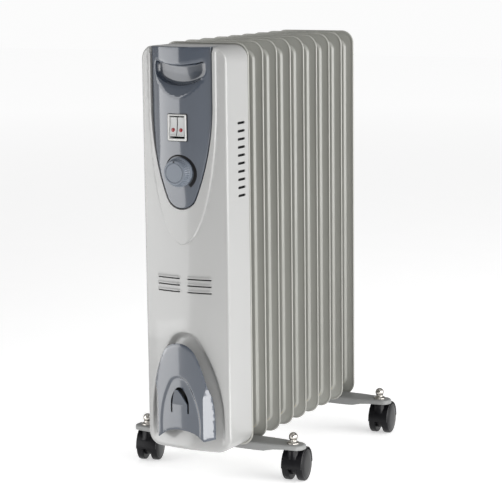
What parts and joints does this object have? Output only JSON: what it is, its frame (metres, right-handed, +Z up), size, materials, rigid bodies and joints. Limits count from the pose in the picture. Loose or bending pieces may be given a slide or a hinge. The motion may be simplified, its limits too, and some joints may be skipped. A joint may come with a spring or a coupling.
{
  "type": "oil filled radiator heater",
  "caption": "Finned oil filled radiator heater on swivel casters, with a crowned control cover, twin rocker switches, a thermostat knob and a cord tidy.",
  "frame": {"origin": "on the floor, at the centre of the rectangle of the four caster stems", "axes": "+X to the heater's right as seen from the front, -Y out of the control cover's front face, +Z up"},
  "size_m": [0.2949, 0.4631, 0.642],
  "materials": {
    "fin_paint": "satin",
    "cover_paint": "satin",
    "foot_paint": "satin",
    "panel_plastic": "glossy",
    "tidy_plastic": "satin",
    "bezel_plastic": "satin",
    "rocker_plastic": "satin",
    "lens_plastic": "glossy",
    "knob_plastic": "satin",
    "black_plastic": "satin",
    "caster_plastic": "satin",
    "wheel_plastic": "satin",
    "zinc_steel": "zinc plated",
    "nut_chrome": "polished",
    "copper_brass": "plain",
    "gasket_rubber": "matt",
    "heating_oil": "clear liquid"
  },
  "bodies": {
    "radiator": {"fin_1": "fin_paint", "fin_2": "fin_paint", "fin_3": "fin_paint", "fin_4": "fin_paint", "fin_5": "fin_paint", "fin_6": "fin_paint", "fin_7": "fin_paint", "fin_8": "fin_paint", "fin_9": "fin_paint", "oil_charge": "heating_oil", "element_tube": "zinc_steel", "element_gasket": "gasket_rubber", "element_flange": "copper_brass", "element_terminals": "zinc_steel", "heat_shield": "zinc_steel", "standoffs": "zinc_steel", "thermal_cutout": "black_plastic", "terminal_block": "bezel_plastic", "leads": "gasket_rubber", "front_cover": "cover_paint", "control_panel": "panel_plastic", "handle_cup": "panel_plastic", "control_bracket": "zinc_steel", "switch_frame": "bezel_plastic", "switch_body": "black_plastic", "switch_pin": "zinc_steel", "thermostat_body": "black_plastic", "thermostat_nut": "zinc_steel", "cord_tidy": "tidy_plastic", "cord_gland": "black_plastic", "cover_screws": "zinc_steel", "tidy_screws": "zinc_steel", "foot_front": "foot_paint", "foot_rear": "foot_paint", "u_bolts": "zinc_steel", "wing_nuts": "zinc_steel", "dome_nuts": "nut_chrome", "caster_stems": "zinc_steel"},
    "rocker_left": {"rocker_left": "rocker_plastic", "lens_left": "lens_plastic"},
    "rocker_right": {"rocker_right": "rocker_plastic", "lens_right": "lens_plastic"},
    "thermostat": {"thermostat_knob": "knob_plastic", "thermostat_shaft": "zinc_steel"},
    "front_left_caster": {"front_left_hood": "caster_plastic", "front_left_axle": "zinc_steel"},
    "front_left_left_wheel": {"front_left_left_wheel": "wheel_plastic"},
    "front_left_right_wheel": {"front_left_right_wheel": "wheel_plastic"},
    "front_right_caster": {"front_right_hood": "caster_plastic", "front_right_axle": "zinc_steel"},
    "front_right_left_wheel": {"front_right_left_wheel": "wheel_plastic"},
    "front_right_right_wheel": {"front_right_right_wheel": "wheel_plastic"},
    "rear_left_caster": {"rear_left_hood": "caster_plastic", "rear_left_axle": "zinc_steel"},
    "rear_left_left_wheel": {"rear_left_left_wheel": "wheel_plastic"},
    "rear_left_right_wheel": {"rear_left_right_wheel": "wheel_plastic"},
    "rear_right_caster": {"rear_right_hood": "caster_plastic", "rear_right_axle": "zinc_steel"},
    "rear_right_left_wheel": {"rear_right_left_wheel": "wheel_plastic"},
    "rear_right_right_wheel": {"rear_right_right_wheel": "wheel_plastic"}
  },
  "joints": [
    {"name": "rocker_left_tilt", "type": "hinge", "parent": "radiator", "child": "rocker_left", "pos_m": [0, -0.2496, 0.5267], "axis": [1, 0, 0], "range_deg": [0, 16]},
    {"name": "rocker_right_tilt", "type": "hinge", "parent": "radiator", "child": "rocker_right", "pos_m": [0, -0.2496, 0.5267], "axis": [1, 0, 0], "range_deg": [0, 16]},
    {"name": "thermostat_turn", "type": "hinge", "parent": "radiator", "child": "thermostat", "pos_m": [0, -0.2552, 0.463], "axis": [0, -1, 0], "range_deg": [-300, 0]},
    {"name": "front_left_swivel", "type": "hinge", "parent": "radiator", "child": "front_left_caster", "pos_m": [-0.125, -0.1505, 0.04], "axis": [0, 0, 1], "continuous": true},
    {"name": "front_left_left_spin", "type": "hinge", "parent": "front_left_caster", "child": "front_left_left_wheel", "pos_m": [-0.12839, -0.13692, 0.024], "axis": [0.9703, 0.2419, 0], "continuous": true},
    {"name": "front_left_right_spin", "type": "hinge", "parent": "front_left_caster", "child": "front_left_right_wheel", "pos_m": [-0.12839, -0.13692, 0.024], "axis": [0.9703, 0.2419, 0], "continuous": true},
    {"name": "front_right_swivel", "type": "hinge", "parent": "radiator", "child": "front_right_caster", "pos_m": [0.125, -0.1505, 0.04], "axis": [0, 0, 1], "continuous": true},
    {"name": "front_right_left_spin", "type": "hinge", "parent": "front_right_caster", "child": "front_right_left_wheel", "pos_m": [0.12305, -0.13664, 0.024], "axis": [0.9903, 0.1392, 0], "continuous": true},
    {"name": "front_right_right_spin", "type": "hinge", "parent": "front_right_caster", "child": "front_right_right_wheel", "pos_m": [0.12305, -0.13664, 0.024], "axis": [0.9903, 0.1392, 0], "continuous": true},
    {"name": "rear_left_swivel", "type": "hinge", "parent": "radiator", "child": "rear_left_caster", "pos_m": [-0.125, 0.1505, 0.04], "axis": [0, 0, 1], "continuous": true},
    {"name": "rear_left_left_spin", "type": "hinge", "parent": "rear_left_caster", "child": "rear_left_left_wheel", "pos_m": [-0.12305, 0.16436, 0.024], "axis": [0.9903, -0.1392, 0], "continuous": true},
    {"name": "rear_left_right_spin", "type": "hinge", "parent": "rear_left_caster", "child": "rear_left_right_wheel", "pos_m": [-0.12305, 0.16436, 0.024], "axis": [0.9903, -0.1392, 0], "continuous": true},
    {"name": "rear_right_swivel", "type": "hinge", "parent": "radiator", "child": "rear_right_caster", "pos_m": [0.125, 0.1505, 0.04], "axis": [0, 0, 1], "continuous": true},
    {"name": "rear_right_left_spin", "type": "hinge", "parent": "rear_right_caster", "child": "rear_right_left_wheel", "pos_m": [0.12329, 0.1644, 0.024], "axis": [0.9925, 0.1219, 0], "continuous": true},
    {"name": "rear_right_right_spin", "type": "hinge", "parent": "rear_right_caster", "child": "rear_right_right_wheel", "pos_m": [0.12329, 0.1644, 0.024], "axis": [0.9925, 0.1219, 0], "continuous": true}
  ]
}
